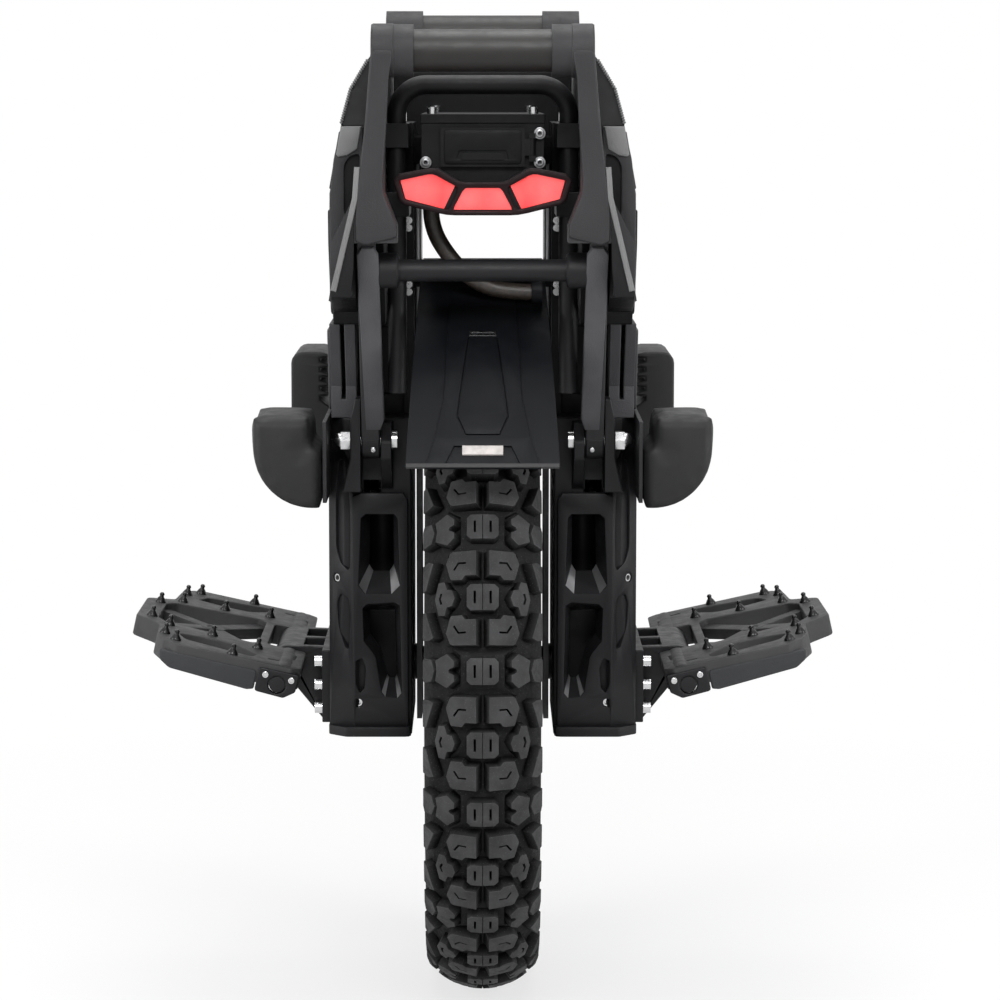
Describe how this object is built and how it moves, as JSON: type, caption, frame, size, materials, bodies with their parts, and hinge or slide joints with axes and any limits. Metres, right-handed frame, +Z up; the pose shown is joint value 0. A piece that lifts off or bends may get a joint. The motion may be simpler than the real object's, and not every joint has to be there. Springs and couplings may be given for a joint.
{
  "type": "electric unicycle",
  "caption": "Self-balancing electric unicycle: knobbly tyre on a hub motor, sprung body with folding spiked pedals, leg pads, tail light, grab bars and a pull-up trolley handle.",
  "frame": {"origin": "on the ground, below the middle of the wheel, which is the bottom centre of the box", "axes": "+X to the right seen from behind, +Y forward, +Z up"},
  "size_m": [0.5448, 0.5078, 0.7625],
  "materials": {
    "tyre": "matt knobbly rubber",
    "black_alloy": "satin black coat",
    "grey_alloy": "grained dark grey",
    "grip": "satin black",
    "polished_steel": "polished",
    "steel": "plain",
    "copper": "enamelled wire",
    "shell_plastic": "fine grain",
    "battery": "shrink wrap",
    "board": "solder mask",
    "red_lens": "lit",
    "clear_lens": "clear",
    "reflector": "reflex",
    "pad_rubber": "matt",
    "cable": "braided sleeve"
  },
  "bodies": {
    "frame": {"side_frames": "grey_alloy", "guide_columns": "black_alloy", "rear_stays": "grey_alloy", "cross_tube": "black_alloy", "stay_bolts": "polished_steel", "rear_handle_bar": "grip", "front_handle_bar": "grip", "upper_shells": "shell_plastic", "batteries": "battery", "controller_box": "shell_plastic", "controller_board": "board", "controller_lid": "shell_plastic", "casing_screws": "polished_steel", "tail_light_housing": "shell_plastic", "tail_light_lenses": "red_lens", "dash_housing": "shell_plastic", "display_window": "clear_lens", "headlight_lens": "clear_lens", "trolley_guides": "black_alloy", "mudguard": "shell_plastic", "mudguard_reflector": "reflector", "motor_cable": "cable", "pad_brackets": "grey_alloy", "pedal_pins": "polished_steel", "hanger_bolts": "polished_steel", "shock_rods": "polished_steel", "leg_left": "black_alloy", "rear_pillar_left": "black_alloy", "front_pillar_left": "black_alloy", "side_shell_left": "shell_plastic", "calf_pad_left": "pad_rubber", "shin_pad_left": "pad_rubber", "pedal_hanger_left": "black_alloy", "leg_right": "black_alloy", "rear_pillar_right": "black_alloy", "front_pillar_right": "black_alloy", "side_shell_right": "shell_plastic", "calf_pad_right": "pad_rubber", "shin_pad_right": "pad_rubber", "pedal_hanger_right": "black_alloy"},
    "carriage": {"axle": "steel", "axle_nuts": "steel", "axle_blocks": "black_alloy", "slider_plates": "polished_steel", "shock_bodies": "black_alloy", "stator": "steel", "windings": "copper"},
    "wheel": {"tyre": "tyre", "rim": "black_alloy", "magnets": "steel", "motor_covers": "black_alloy", "motor_cover_screws": "steel", "wheel_bearings": "steel"},
    "pedal_left": {"pedal_left": "grey_alloy", "pedal_spikes_left": "steel"},
    "pedal_right": {"pedal_right": "grey_alloy", "pedal_spikes_right": "steel"},
    "trolley_handle": {"trolley_handle": "black_alloy"},
    "charge_port_door": {"charge_port_door": "shell_plastic"},
    "power_button": {"power_button": "pad_rubber"}
  },
  "joints": [
    {"name": "suspension", "type": "slide", "parent": "frame", "child": "carriage", "axis": [0, 0, 1], "range_m": [0, 0.05], "stiffness_N_per_m": 14000, "springref_m": -0.03},
    {"name": "wheel_spin", "type": "hinge", "parent": "carriage", "child": "wheel", "pos_m": [0, 0, 0.254], "axis": [1, 0, 0], "continuous": true},
    {"name": "pedal_left_fold", "type": "hinge", "parent": "frame", "child": "pedal_left", "pos_m": [-0.15, 0, 0.262], "axis": [0, 1, 0], "range_deg": [0, 75]},
    {"name": "pedal_right_fold", "type": "hinge", "parent": "frame", "child": "pedal_right", "pos_m": [0.15, 0, 0.262], "axis": [0, -1, 0], "range_deg": [0, 75]},
    {"name": "trolley_slide", "type": "slide", "parent": "frame", "child": "trolley_handle", "axis": [0, 0, 1], "range_m": [0, 0.12]},
    {"name": "charge_door_swing", "type": "hinge", "parent": "frame", "child": "charge_port_door", "pos_m": [0.036, -0.1475, 0.657], "axis": [0, 0, 1], "range_deg": [0, 90]},
    {"name": "power_button_press", "type": "slide", "parent": "frame", "child": "power_button", "axis": [0, 0, -1], "range_m": [0, 0.0015], "stiffness_N_per_m": 400, "springref_m": -0.001}
  ]
}
